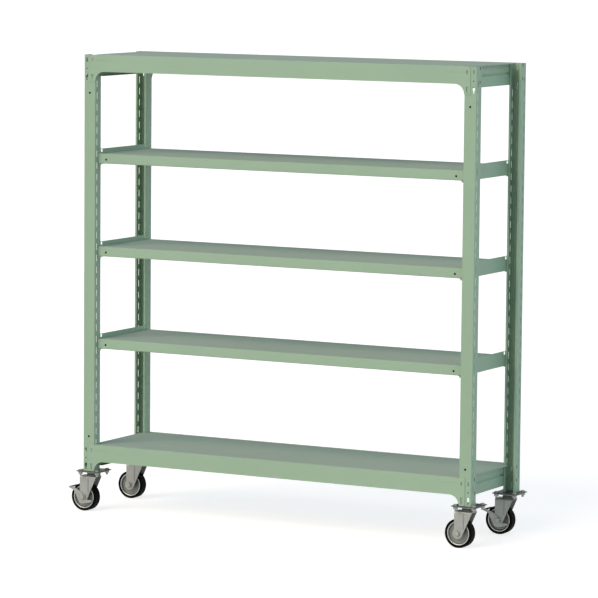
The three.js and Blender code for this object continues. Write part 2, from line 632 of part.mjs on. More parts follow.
const sideBeam = sideBeamGeometry();
const deck = deckGeometry();
const tiers = [
  { name: "top", height: POST_HEIGHT, holes: TOP_HOLES },
  { name: "bottom", height: BOTTOM_TIER_HEIGHT, holes: FOOT_HOLES },
];
for (const { name, height, holes } of tiers) {
  const z = FOOT_HEIGHT + height;
  const beam = longBeamGeometry(holes, height);
  rack.add(place(mesh(name + "_beam_front", beam, PAINT), 0, -halfDepth, z));
  rack.add(place(mesh(name + "_beam_rear", beam, PAINT), 0, halfDepth, z, Math.PI));
  rack.add(place(mesh(name + "_side_beam_left", sideBeam, PAINT), -halfWidth, 0, z));
  rack.add(place(mesh(name + "_side_beam_right", sideBeam, PAINT), halfWidth, 0, z, Math.PI));
  rack.add(place(mesh(name + "_deck", deck, BOARD_PAINT), 0, 0, z));
}

const shelf = shelfGeometry();
const rail = railGeometry();
SHELF_TIERS.forEach((height, i) => {
  const name = SHELF_NAMES[i];
  const z = FOOT_HEIGHT + height;
  rack.add(place(mesh(name + "_shelf", shelf, BOARD_PAINT), 0, 0, z));
  rack.add(place(mesh(name + "_rail_left", rail, PAINT), -halfWidth, 0, z));
  rack.add(place(mesh(name + "_rail_right", rail, PAINT), halfWidth, 0, z, Math.PI));
});

export default part;
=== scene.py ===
"""Looks for the mobile steel rack: painted frame, matt boards and zinc plated casters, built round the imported
frame. Everything is in metres, in the frame of the part: +Z up, X along the shelves, Y from front to rear."""
import math

import bmesh
import bpy
from bpy.props import FloatProperty, FloatVectorProperty, IntProperty, PointerProperty
from mathutils import Matrix, Vector


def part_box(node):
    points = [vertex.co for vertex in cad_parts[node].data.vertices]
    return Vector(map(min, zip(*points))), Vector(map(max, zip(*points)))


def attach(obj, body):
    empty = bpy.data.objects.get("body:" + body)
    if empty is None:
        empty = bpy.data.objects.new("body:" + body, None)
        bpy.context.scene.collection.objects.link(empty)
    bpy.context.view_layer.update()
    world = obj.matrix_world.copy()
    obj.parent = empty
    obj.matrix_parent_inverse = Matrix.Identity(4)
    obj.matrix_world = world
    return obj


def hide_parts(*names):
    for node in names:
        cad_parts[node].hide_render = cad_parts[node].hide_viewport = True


bl_info = {
    "name": "Mobile steel rack",
    "version": (1, 0, 0),
    "blender": (4, 5, 0),
    "location": "3D View > Sidebar > Rack",
    "description": "Builds the looks of a slotted post rack on swivel casters",
    "category": "Object",
}

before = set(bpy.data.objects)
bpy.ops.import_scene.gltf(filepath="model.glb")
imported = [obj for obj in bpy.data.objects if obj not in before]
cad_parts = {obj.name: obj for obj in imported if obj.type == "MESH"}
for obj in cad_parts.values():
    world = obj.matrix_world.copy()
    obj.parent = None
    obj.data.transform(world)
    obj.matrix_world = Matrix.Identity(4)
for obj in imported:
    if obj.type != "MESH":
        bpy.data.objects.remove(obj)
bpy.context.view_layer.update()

MM = 0.001
CORNERS = ("front_left", "front_right", "rear_left", "rear_right")
BRAKED = ("front_left", "rear_right")
TIERS = ("top", "bottom")
SHELVES = ("upper", "middle", "lower")
SIDES = ("left", "right")
WORLD_UP = Vector((0, 0, 1))
ACROSS = (0, 1, 0)  # axis of the wheels

# Sizes of the solids that the new pieces line up with.
SEAT = 0.3 * MM  # gap that touching pieces keep
POST_SHEET = 1.6 * MM
BEAM_SHEET = 2 * MM
BEAD_RISE = 1.7 * MM  # by which a long beam's bead stands proud
HOLE_COLUMN = 14.5 * MM  # columns of holes either side of the middle of a post's web
PLUG_DROP, PLUG_RISE = 163.5 * MM, 152 * MM  # round holes of a post, from its top and its foot
BOTTOM_TIER = 116 * MM  # bottom deck above the posts' feet
SCREW_INSET, SCREW_DROP = 97 * MM, 24.5 * MM  # holes in a shelf's edges, from the posts' flanks and its top

# What the mesh helpers go by.
WELD = 0.002 * MM  # points closer than this become one
COPLANAR = math.radians(0.5)  # faces that differ by less become one
SHARP = math.radians(32)  # edges that turn more stay sharp in the shading
ROUNDED = math.radians(30)  # edges that turn more are rounded
SQUARE = math.radians(80)  # edges that turn more are square corners
FOLD = (math.radians(40), math.radians(50))  # turn at either edge of a folded corner's facet
BEND_LENGTH = 80 * MM  # the bends of a sheet are longer than this
SLACK = 1.1  # an edge across a sheet is at most this many sheets long
STRAIGHT = 0.99  # and at least this part of it lies along x or y
ALONG = 0.9  # part of a unit vector along z from which a face counts as level and an edge as upright
SKIN = 0.02 * MM  # by which foot plates and tyres stay under their CAD size

# Roundings of the two edges of a folded corner's facet.
POST_BEND, LONG_BEAM_BEND, SIDE_BEAM_BEND, SHELF_BEND = 0.4 * MM, 0.7 * MM, 0.25 * MM, 0.3 * MM
THIN = 0.8  # share of the usual rounding on the thinner sheet of shelves and rails
FINE_EDGE = 0.2 * MM  # rounding of the frame's small fasteners

FLOOR = 400  # half the floor's width, in metres
PICTURE = 598  # width of the picture, in pixels


def linear(code):
    """An sRGB hex colour such as "9ab398" as linear red, green and blue, and an alpha of 1."""
    values = [int(code[i : i + 2], 16) / 255 for i in (0, 2, 4)]
    return (*[v / 12.92 if v <= 0.04045 else ((v + 0.055) / 1.055) ** 2.4 for v in values], 1.0)


class RackSizes(bpy.types.PropertyGroup):
    """Sizes that a user may want to change"""

    edge: FloatProperty(
        name="Edge rounding", description="Rounding of folded sheet edges", default=0.5 * MM, unit="LENGTH"
    )
    hard_edge: FloatProperty(
        name="Fastener rounding", description="Rounding of bolts and plates", default=0.4 * MM, unit="LENGTH"
    )
    edge_steps: IntProperty(name="Edge steps", description="Steps in each rounded edge", default=2, min=1)
    round_steps: IntProperty(name="Round steps", description="Steps round a wheel", default=96, min=24)


class RackColours(bpy.types.PropertyGroup):
    """Colours of the finishes"""

    paint: FloatVectorProperty(
        name="Frame paint", description="Sage green coat of posts and beams", subtype="COLOR", size=4,
        default=linear("9db69b"), min=0, max=1,
    )
    # The boards' green is greyed as a painted reflection of the grey surroundings.
    boards: FloatVectorProperty(
        name="Board paint", description="Coat of decks and shelves", subtype="COLOR", size=4,
        default=linear("acbbaf"), min=0, max=1,
    )
    zinc: FloatVectorProperty(
        name="Zinc plate", description="Plated caster steel", subtype="COLOR", size=4,
        default=linear("a1a49f"), min=0, max=1,
    )
    rubber: FloatVectorProperty(
        name="Tyre rubber", description="Black rubber of the tyres", subtype="COLOR", size=4,
        default=linear("0b0b0b"), min=0, max=1,
    )
    # Black of the fasteners, which also stands as painted shade of the holes they sit in.
    black: FloatVectorProperty(
        name="Black fasteners", description="Blackened screws and plugs", subtype="COLOR", size=4,
        default=linear("0b110c"), min=0, max=1,
    )


# Materials


def new_tree(name):
    """A material with an empty node tree and its output node."""
    material = bpy.data.materials.new(name)
    material.use_nodes = True
    material.node_tree.nodes.clear()
    output = material.node_tree.nodes.new("ShaderNodeOutputMaterial")
    return material, material.node_tree, output


def add(tree, kind, links=None, stops=(), **settings):
    """Adds a node, sets its properties, input values and ramp stops, and links inputs to given outputs."""
    node = tree.nodes.new(kind)
    for key, value in settings.items():
        if hasattr(node, key):
            setattr(node, key, value)
        else:
            node.inputs[key.replace("_", " ")].default_value = value
    for i, (position, colour) in enumerate(stops):
        node.color_ramp.elements[i].position = position
        node.color_ramp.elements[i].color = colour
    for key, socket in (links or {}).items():
        tree.links.new(socket, node.inputs[key])
    return node


def darker(colour, share):
    """The colour at a share of its brightness."""
    return (*[c * share for c in colour[:3]], colour[3])


def clouded(tree, colour, share, width, detail, low=0.3, high=0.7):
    """A colour that drifts down to a share of its brightness, in clouds of the given width."""
    place = add(tree, "ShaderNodeTexCoord")
    cloud = add(
        tree, "ShaderNodeTexNoise", {"Vector": place.outputs["Object"]}, Scale=1 / width, Detail=detail
    )
    stops = ((low, darker(colour, share)), (high, colour))
    return add(tree, "ShaderNodeValToRGB", {"Fac": cloud.outputs["Fac"]}, stops).outputs["Color"]


def bumped(tree, width, strength, depth):
    """A normal for a skin with bumps of the given width and depth."""
    place = add(tree, "ShaderNodeTexCoord")
    grain = add(
        tree, "ShaderNodeTexNoise", {"Vector": place.outputs["Object"]}, Scale=1 / width, Detail=2.0
    )
    bump = add(tree, "ShaderNodeBump", {"Height": grain.outputs["Fac"]}, Strength=strength, Distance=depth)
    return bump.outputs["Normal"]


def powder_coat(name="powder_coat_sage", sheen=0.25):
    """Polyester powder coat on folded steel: satin, with a faint orange-peel skin about 1.5 mm across."""
    material, tree, output = new_tree(name)
    paint = tuple(bpy.context.scene.rack_colours.paint)
    tint = clouded(tree, paint, 0.96, width=350 * MM, detail=3.0, low=0.35, high=0.65)
    peel = bumped(tree, width=1.5 * MM, strength=0.08, depth=0.02 * MM)
    shader = add(
        tree, "ShaderNodeBsdfPrincipled", {"Base Color": tint, "Normal": peel},
        Roughness=0.42, Specular_IOR_Level=sheen,
    )
    tree.links.new(shader.outputs["BSDF"], output.inputs["Surface"])
    return material


def beam_coat():
    """The same coat with more sheen on long beams and shelf edges, where the top bend shines as a line."""
    return powder_coat("powder_coat_sage_glossy", 0.45)


def board_coat_with_painted_reflection():
    """The same coat on the flat boards, without the sheen that would whiten a low view. Its colour is greyer, a
    painted reflection of the grey surroundings in place of that sheen.
    """
    material, tree, output = new_tree("powder_coat_board_with_painted_reflection")
    paint = tuple(bpy.context.scene.rack_colours.boards)
    tint = clouded(tree, paint, 0.97, width=500 * MM, detail=3.0, low=0.35, high=0.65)
    shader = add(
        tree, "ShaderNodeBsdfPrincipled", {"Base Color": tint}, Roughness=0.35, Specular_IOR_Level=0.0
    )
    tree.links.new(shader.outputs["BSDF"], output.inputs["Surface"])
    return material


def zinc_plate():
    """Bright zinc plating on pressed steel: a grey metal with fine rolling grain and cloudy passivation."""
    material, tree, output = new_tree("zinc_plated_steel")
    tint = clouded(tree, tuple(bpy.context.scene.rack_colours.zinc), 0.88, width=18 * MM, detail=2.0)
    place = add(tree, "ShaderNodeTexCoord")
    grain = add(
        tree, "ShaderNodeTexNoise", {"Vector": place.outputs["Object"]}, Scale=1 / (2 * MM), Detail=3.0
    )
    rough = add(tree, "ShaderNodeMapRange", {"Value": grain.outputs["Fac"]}, To_Min=0.46, To_Max=0.6)
    shader = add(
        tree, "ShaderNodeBsdfPrincipled", {"Base Color": tint, "Roughness": rough.outputs["Result"]},
        Metallic=0.6,
    )
    tree.links.new(shader.outputs["BSDF"], output.inputs["Surface"])
    return material


def toned_zinc(name, tone, roughness):
    """Zinc plating of another brightness, with cloudy passivation about 12 mm across."""
    material, tree, output = new_tree(name)
    zinc = darker(tuple(bpy.context.scene.rack_colours.zinc), tone)
    tint = clouded(tree, zinc, 0.88, width=12 * MM, detail=2.0)
    shader = add(tree, "ShaderNodeBsdfPrincipled", {"Base Color": tint}, Metallic=0.7, Roughness=roughness)
    tree.links.new(shader.outputs["BSDF"], output.inputs["Surface"])
    return material


def disc_zinc_painted_shade():
    """Zinc darkened in the recess of the pressed wheel discs: painted shade."""
    return toned_zinc("zinc_disc_painted_shade", tone=0.55, roughness=0.5)


def rim_zinc_painted_highlight():
    """Smoother zinc on the rolled rims, made brighter so that they shine as light rings round the discs: a
    painted highlight.
    """
    return toned_zinc("zinc_rim_painted_highlight", tone=1.5, roughness=0.25)


def crease_zinc_painted_shade():
    """Zinc darkened where the fork legs are creased: painted shade in the crease."""
    return toned_zinc("zinc_fork_crease_painted_shade", tone=0.8, roughness=0.5)


def plate_zinc_painted_shade():
    """Zinc on the thick foot plates and the ball races, darkened to a dark grey that is painted shade, for the
    shadow under the posts and plates.
    """
    return toned_zinc("zinc_plate_painted_shade", tone=0.3, roughness=0.55)


def black_steel_and_hole_shade():
    """Blackened steel of screws, plugs and treads: matt, with a faint oxide bloom about 1.2 mm across. On the
    screws, plugs, rivets and hook ends, its black also stands for the dark of the holes they sit in, as painted
    shade.
    """
    material, tree, output = new_tree("black_oxide_steel_and_hole_shade")
    tint = clouded(tree, tuple(bpy.context.scene.rack_colours.black), 0.7, width=1.2 * MM, detail=2.0)
    shader = add(
        tree, "ShaderNodeBsdfPrincipled", {"Base Color": tint}, Roughness=0.6, Specular_IOR_Level=0.2
    )
    tree.links.new(shader.outputs["BSDF"], output.inputs["Surface"])
    return material


def tyre_rubber():
    """Moulded black rubber: nearly black, matt, with a fine moulded grain of about 0.8 mm."""
    material, tree, output = new_tree("black_tyre_rubber")
    tint = clouded(tree, tuple(bpy.context.scene.rack_colours.rubber), 0.8, width=0.8 * MM, detail=2.0)
    grain = bumped(tree, width=0.8 * MM, strength=0.2, depth=0.05 * MM)
    shader = add(
        tree, "ShaderNodeBsdfPrincipled", {"Base Color": tint, "Normal": grain},
        Roughness=0.6, Specular_IOR_Level=0.03,
    )
    tree.links.new(shader.outputs["BSDF"], output.inputs["Surface"])
    return material


FINISHES = {}


def finish_of(build):
    """Each finish is made once, the first time that a piece asks for it."""
    if build not in FINISHES:
        FINISHES[build] = build()
    return FINISHES[build]


# Mesh helpers


def link_object(name, data):
    """A new object for a mesh, lamp or camera, in the scene's collection."""
    made = bpy.data.objects.new(name, data)
    bpy.context.scene.collection.objects.link(made)
    return made


def merged_copy(node):
    """A bmesh of a frame node with its loose triangles merged into flat faces."""
    bm = bmesh.new()
    bm.from_mesh(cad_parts[node].data)
    bmesh.ops.remove_doubles(bm, verts=bm.verts, dist=WELD)
    bmesh.ops.dissolve_limit(bm, angle_limit=COPLANAR, verts=bm.verts, edges=bm.edges)
    return bm


def finished(bm, name, body, build, node=None, edge=None, flat=False):
    """Turns a bmesh into a piece that rides a body, wears a finish and may stand for a frame node. An edge
    size rounds its edges and keeps flat faces flat in the shading, and flat does only the second."""
    mesh = bpy.data.meshes.new(name)
    bm.to_mesh(mesh)
    bm.free()
    mesh.shade_smooth()
    mesh.set_sharp_from_angle(angle=SHARP)
    piece = link_object(name, mesh)
    piece.data.materials.append(finish_of(build))
    if edge:
        rounding = piece.modifiers.new("rounded_edges", "BEVEL")
        rounding.width = edge
        rounding.segments = bpy.context.scene.rack_sizes.edge_steps
        rounding.limit_method = "ANGLE"
        rounding.angle_limit = ROUNDED
        rounding.harden_normals = True
    if edge or flat:
        shading = piece.modifiers.new("flat_faces", "WEIGHTED_NORMAL")
        shading.keep_sharp = True
    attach(piece, body)
    if node:
        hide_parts(node)
    return piece


def round_corners(bm, sheet, radius, low=-math.inf, high=math.inf):
    """Rounds the square corners of holes and sheet ends between two heights. Such a corner is an edge across
    the sheet, along x or y, where each of the four edges that it meets has room for the radius."""
    corners = []
    for edge in bm.edges:
        way = (edge.verts[0].co - edge.verts[1].co).normalized()
        across = edge.calc_length() < sheet * SLACK and max(abs(way.x), abs(way.y)) > STRAIGHT
        square = edge.is_manifold and edge.calc_face_angle() > SQUARE
        beside = [other for v in edge.verts for other in v.link_edges if other is not edge]
        roomy = len(beside) == 4 and min(other.calc_length() for other in beside) > 2 * radius
        if across and square and roomy and low < edge.verts[0].co.z < high:
            corners.append(edge)
    bmesh.ops.bevel(bm, geom=corners, offset=radius, affect="EDGES", segments=3, profile=0.5, material=-1)


def round_bends(bm, offset):
    """Rounds the two long edges of each folded corner's facet, so the bend catches light as a band."""
    long = [e for e in bm.edges if e.is_manifold and e.calc_length() > BEND_LENGTH]
    bends = [e for e in long if FOLD[0] < e.calc_face_angle() < FOLD[1]]
    bmesh.ops.bevel(bm, geom=bends, offset=offset, affect="EDGES", segments=2, profile=0.5, material=-1)


def refine(node, body, build, edge, bend=None):
    """The usual treatment of a frame node: merged, with its bends and edges rounded."""
    bm = merged_copy(node)
    if bend:
        round_bends(bm, bend)
    return finished(bm, node + "_look", body, build, node, edge)


def add_cone(bm, base, axis, radius, end_radius, height, steps=32):
    """A short cone, disc or hexagon that stands on its base point along the axis."""
    axis = Vector(axis).normalized()
    turn = axis.to_track_quat("Z", "Y").to_matrix().to_4x4()
    place = Matrix.Translation(Vector(base) + axis * height / 2) @ turn
    bmesh.ops.create_cone(
        bm, cap_ends=True, segments=steps, radius1=radius, radius2=end_radius, depth=height, matrix=place
    )


def add_headed(bm, place, out, head, shank):
    """A low head on a face, given by its two radii and its height, and a shank behind the face, given by its
    radius and its length."""
    radius, end_radius, height = head
    add_cone(bm, place, (0, out, 0), radius, end_radius, height)
    radius, length = shank
    add_cone(bm, place, (0, -out, 0), radius, radius, length)


def add_box(bm, centre, size, turn=0.0):
    """A box about its centre, turned about the y axis."""
    turned_place = Matrix.Translation(Vector(centre)) @ Matrix.Rotation(turn, 4, "Y")
    bmesh.ops.create_cube(bm, size=1, matrix=turned_place @ Matrix.Diagonal((*size, 1)))


def middle_of(node):
    """The middle of a frame node's box."""
    low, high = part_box(node)
    return (low + high) / 2


def turned(profile, centre, axis, steps):
    """A closed ring turned round an axis through the centre, from (radius, height) points along the axis."""
    along = Vector(axis)
    out = along.orthogonal().normalized()
    bm = bmesh.new()
    verts = [bm.verts.new(centre + out * r + along * h) for r, h in profile]
    edges = [bm.edges.new((verts[i], verts[(i + 1) % len(verts)])) for i in range(len(verts))]
    bmesh.ops.spin(
        bm, geom=verts + edges, cent=centre, axis=along, angle=math.tau, steps=steps, use_merge=True
    )
    bmesh.ops.remove_doubles(bm, verts=bm.verts, dist=WELD)
    bmesh.ops.recalc_face_normals(bm, faces=bm.faces)
    return bm


def arc(centre_r, centre_h, radius, start, end, steps):
    """Points of an arc in a turning profile, with angles in degrees from the radius direction."""
    angles = [math.radians(start + (end - start) * i / steps) for i in range(steps + 1)]
    return [(centre_r + radius * math.cos(a), centre_h + radius * math.sin(a)) for a in angles]


def both_sides(half):
    """A closed turning profile from its points on one side of the middle, mirrored to the other side."""
    return [(r, -h) for r, h in half] + half[::-1]


# Operators


class RACK_OT_posts(bpy.types.Operator):
    """Posts: folded channels in satin coat, with rounded slot ends"""

    bl_idname = "rack.posts"
    bl_label = "Posts"

    slot_radius: FloatProperty(
        name="Slot end radius", description="Rounding of the slots' corners", default=2.3 * MM, unit="LENGTH"
    )

    def execute(self, context):
        ends = 1 * MM  # corners this close to the top or the foot stay square
        for corner in CORNERS:
            node = "post_" + corner
            bm = merged_copy(node)
            low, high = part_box(node)
            round_corners(bm, POST_SHEET, self.slot_radius, low.z + ends, high.z - ends)
            round_bends(bm, POST_BEND)
            finished(bm, node + "_look", "rack", powder_coat, node, flat=True)
        return {"FINISHED"}


class RACK_OT_beams(bpy.types.Operator):
    """Long beams, side beams and shelf rails in satin coat, with soft folded edges"""

    bl_idname = "rack.beams"
    bl_label = "Beams and rails"

    corner: FloatProperty(
        name="Corner radius", description="Rounding of holes and plate corners", default=1.9 * MM,
        unit="LENGTH",
    )
    bead: FloatProperty(
        name="Bead depth", description="Depth of the short pressed beads", default=1.1 * MM, unit="LENGTH"
    )

    def execute(self, context):
        edge = context.scene.rack_sizes.edge
        for tier in TIERS:
            for end in ("front", "rear"):
                self.long_beam(f"{tier}_beam_{end}", 1 if end == "front" else -1, edge)
            for side in SIDES:
                refine(f"{tier}_side_beam_{side}", "rack", powder_coat, edge, SIDE_BEAM_BEND)
        for shelf in SHELVES:
            for side in SIDES:
                refine(f"{shelf}_rail_{side}", "rack", powder_coat, edge * THIN, SHELF_BEND)
        return {"FINISHED"}

    def long_beam(self, node, inward, edge):
        """A long beam. Its bead is the outermost thing on its face, and is pressed in instead of out."""
        bm = merged_copy(node)
        low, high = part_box(node)
        round_corners(bm, BEAM_SHEET, self.corner)
        round_bends(bm, LONG_BEAM_BEND)
        face, near = low.y if inward > 0 else high.y, 0.1 * MM
        bead = [v for v in bm.verts if abs(v.co.y - face) < near]
        bmesh.ops.translate(bm, verts=bead, vec=(0, inward * (BEAD_RISE + self.bead), 0))
        finished(bm, node + "_look", "rack", beam_coat, node, edge)


class RACK_OT_boards(bpy.types.Operator):
    """Decks and shelves: matt boards, with the beams' coat on the edges of the shelves"""

    bl_idname = "rack.boards"
    bl_label = "Decks and shelves"

    def execute(self, context):
        edge = context.scene.rack_sizes.edge
        for tier in TIERS:
            refine(tier + "_deck", "rack", board_coat_with_painted_reflection, edge)
        for shelf in SHELVES:
            piece = refine(shelf + "_shelf", "rack", board_coat_with_painted_reflection, edge * THIN, SHELF_BEND)
            piece.data.materials.append(finish_of(beam_coat))
            for face in piece.data.polygons:
                face.material_index = 0 if abs(face.normal.z) > ALONG else 1
        return {"FINISHED"}


class RACK_OT_fasteners(bpy.types.Operator):
    """Small parts of the frame: post plugs, rivets, side hooks, shelf screws and rail lugs"""

    bl_idname = "rack.fasteners"
    bl_label = "Fasteners"

    plug: FloatProperty(
        name="Plug radius", description="Head of the plugs in the posts", default=5 * MM, unit="LENGTH"
    )
    rivet: FloatProperty(
        name="Rivet radius", description="Head of the small rivets", default=2.9 * MM, unit="LENGTH"
    )

    def execute(self, context):
        dark, painted = bmesh.new(), bmesh.new()
        for corner in CORNERS:
            self.post_parts(corner, dark, painted)
        for shelf in SHELVES:
            self.shelf_parts(shelf, dark, painted)
        # The black heads and hook ends are in part painted shade of the holes they show in.
        finished(dark, "black_fasteners_and_hole_shade", "rack", black_steel_and_hole_shade, edge=FINE_EDGE)
        finished(painted, "painted_fasteners", "rack", powder_coat, edge=FINE_EDGE)
        return {"FINISHED"}

    def post_parts(self, corner, dark, painted):
        """Plugs and rivets on a post's web, and the dark ends of the side beams' hooks on its flank."""
        low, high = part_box("post_" + corner)
        middle = (low.x + high.x) / 2
        out = -1 if corner.startswith("front") else 1
        face = low.y if out < 0 else high.y
        side = -1 if corner.endswith("left") else 1
        taper, painted_taper = 0.8, 0.7  # end radius of a head, as a share of its radius
        head, shank = (self.plug, self.plug * taper, 0.9 * MM), (2.4 * MM, 4 * MM)
        # The black plugs also stand as painted shade of the round holes.
        for z in (high.z - PLUG_DROP, low.z + PLUG_RISE):
            add_headed(dark, (middle, face, z), out, head, shank)
        # The outer column of rivets sits on the web, the inner one on the beam's end plate before it.
        rivet_drop, rivet_rise = 59 * MM, 57.5 * MM  # from the post's top and its foot
        for z in (high.z - rivet_drop, low.z + rivet_rise):
            outer = (middle + side * HOLE_COLUMN, face, z)
            inner = (middle - side * HOLE_COLUMN, face + out * (SEAT + BEAM_SHEET), z)
            add_cone(dark, outer, (0, out, 0), self.rivet, self.rivet * taper, 0.5 * MM)
            add_cone(painted, inner, (0, out, 0), self.rivet, self.rivet * painted_taper, 0.7 * MM)
        flank = low.x if side < 0 else high.x
        # The dark hook ends are in part painted shade of the slots they sit in.
        hook, behind, drops = (1 * MM, 4.4 * MM, 14 * MM), 32 * MM, (8 * MM, 64 * MM)
        for tier_top in (high.z, low.z + BOTTOM_TIER):
            for drop in drops:
                add_box(dark, (flank, face - out * behind, tier_top - drop), hook)

    def shelf_parts(self, shelf, dark, painted):
        """Screws in a shelf's long edges, and the lugs under the ends of its rails."""
        low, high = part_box(shelf + "_shelf")
        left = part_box("post_front_left")[0].x + SCREW_INSET
        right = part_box("post_front_right")[1].x - SCREW_INSET
        head, shank = (4.8 * MM, 4.2 * MM, 1 * MM), (2.4 * MM, 5 * MM)
        # The black screw heads also stand as painted shade of the holes.
        for out, face in ((-1, low.y), (1, high.y)):
            for x in (left, right):
                add_headed(dark, (x, face, high.z - SCREW_DROP), out, head, shank)
        lug, from_end, below = (14 * MM, 1.5 * MM, 6.4 * MM), 2 * MM, 3 * MM
        for side in SIDES:
            low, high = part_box(f"{shelf}_rail_{side}")
            for y in (low.y + from_end, high.y - from_end):
                add_box(painted, ((low.x + high.x) / 2, y, low.z - below), lug)


class RACK_OT_plates(bpy.types.Operator):
    """Foot plates with their bolts and nuts, caster plates, ball races and kingpins"""

    bl_idname = "rack.plates"
    bl_label = "Caster mountings"

    bolt_place: FloatProperty(
        name="Bolt place", description="Bolt from the swivel axis, along x and y", default=41.5 * MM,
        unit="LENGTH",
    )

    def execute(self, context):
        hard = context.scene.rack_sizes.hard_edge
        for corner in CORNERS:
            self.foot_plate(corner, hard)
            self.bolts(corner, hard)
            refine("caster_plate_" + corner, "rack", zinc_plate, hard)
            self.race(corner, context.scene.rack_sizes.round_steps)
            refine("kingpin_" + corner, "rack", zinc_plate, hard)
        return {"FINISHED"}

    def foot_plate(self, corner, hard):
        """A square plate with round corners under a post."""
        node = "foot_plate_" + corner
        low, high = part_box(node)
        middle = (low + high) / 2
        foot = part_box("post_" + corner)[0].z
        size, sheet, round_by = high.x - low.x - SKIN, 3 * MM, 5 * MM
        bm = bmesh.new()
        add_box(bm, (middle.x, middle.y, foot - SEAT - sheet / 2), (size, size, sheet))
        upright = [e for e in bm.edges if abs((e.verts[0].co - e.verts[1].co).normalized().z) > ALONG]
        bmesh.ops.bevel(
            bm, geom=upright, offset=round_by, affect="EDGES", segments=4, profile=0.5, material=-1
        )
        # The plate's dark grey zinc is painted shade.
        finished(bm, node + "_look", "rack", plate_zinc_painted_shade, node, hard)

    def bolts(self, corner, hard):
        """Four bolts through foot plate and caster plate, each with its head, washer, nut and shank."""
        low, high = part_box("foot_plate_" + corner)
        middle = (low + high) / 2
        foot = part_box("post_" + corner)[0].z
        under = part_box("caster_plate_" + corner)[0].z - 0.1 * MM
        head, chamfer, washer, nut = 4.8 * MM, 1.4 * MM, 1.5 * MM, 6.6 * MM  # heights
        over, shank_top = foot - SEAT, foot - 6 * MM
        # Start, direction, radius at start and end, height, and number of sides.
        parts = (
            (over, WORLD_UP, 9.8 * MM, 9.8 * MM, head, 6),
            (over + head, WORLD_UP, 8.6 * MM, 7.2 * MM, chamfer, 24),
            (under, -WORLD_UP, 10.4 * MM, 10.4 * MM, washer, 32),
            (under - washer, -WORLD_UP, 9.8 * MM, 9.8 * MM, nut, 6),
            (shank_top, -WORLD_UP, 4.8 * MM, 4.8 * MM, shank_top - low.z, 32),
        )
        bm = bmesh.new()
        for x in (middle.x - self.bolt_place, middle.x + self.bolt_place):
            for y in (middle.y - self.bolt_place, middle.y + self.bolt_place):
                for start, way, radius, end_radius, height, sides in parts:
                    add_cone(bm, (x, y, start), way, radius, end_radius, height, sides)
        finished(bm, "bolts_" + corner, "rack", zinc_plate, edge=hard)

    def race(self, corner, steps):
        """A ball race housing: an upper cup and a lower cup with a waist between them."""
        node = "ball_race_" + corner
        low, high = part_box(node)
        rim = (high.x - low.x) / 2
        half = (high.z - low.z) / 2
        bore, lip, bowl = 7.4 * MM, 1.2 * MM, 4 * MM
        lower_rim, waist = rim - 0.4 * MM, rim - 3.4 * MM
        upper = [(bore, half), (rim - 1.5 * MM, half)]
        upper += arc(rim - lip, half - lip, lip, 90, 0, 3)
        upper += [(rim, 3.2 * MM), (rim - 1.2 * MM, 1.6 * MM), (rim - 3 * MM, 1.2 * MM), (waist, 0)]
        lower = [(rim - 3 * MM, -1.2 * MM), (rim - 1 * MM, -1.6 * MM), (lower_rim, -3 * MM)]
        lower += arc(lower_rim - bowl, bowl - half, bowl, 0, -90, 5)
        bm = turned(upper + lower + [(bore, -half)], middle_of(node), WORLD_UP, steps)
        # The race's dark grey zinc is painted shade.
        finished(bm, node + "_look", "rack", plate_zinc_painted_shade, node)


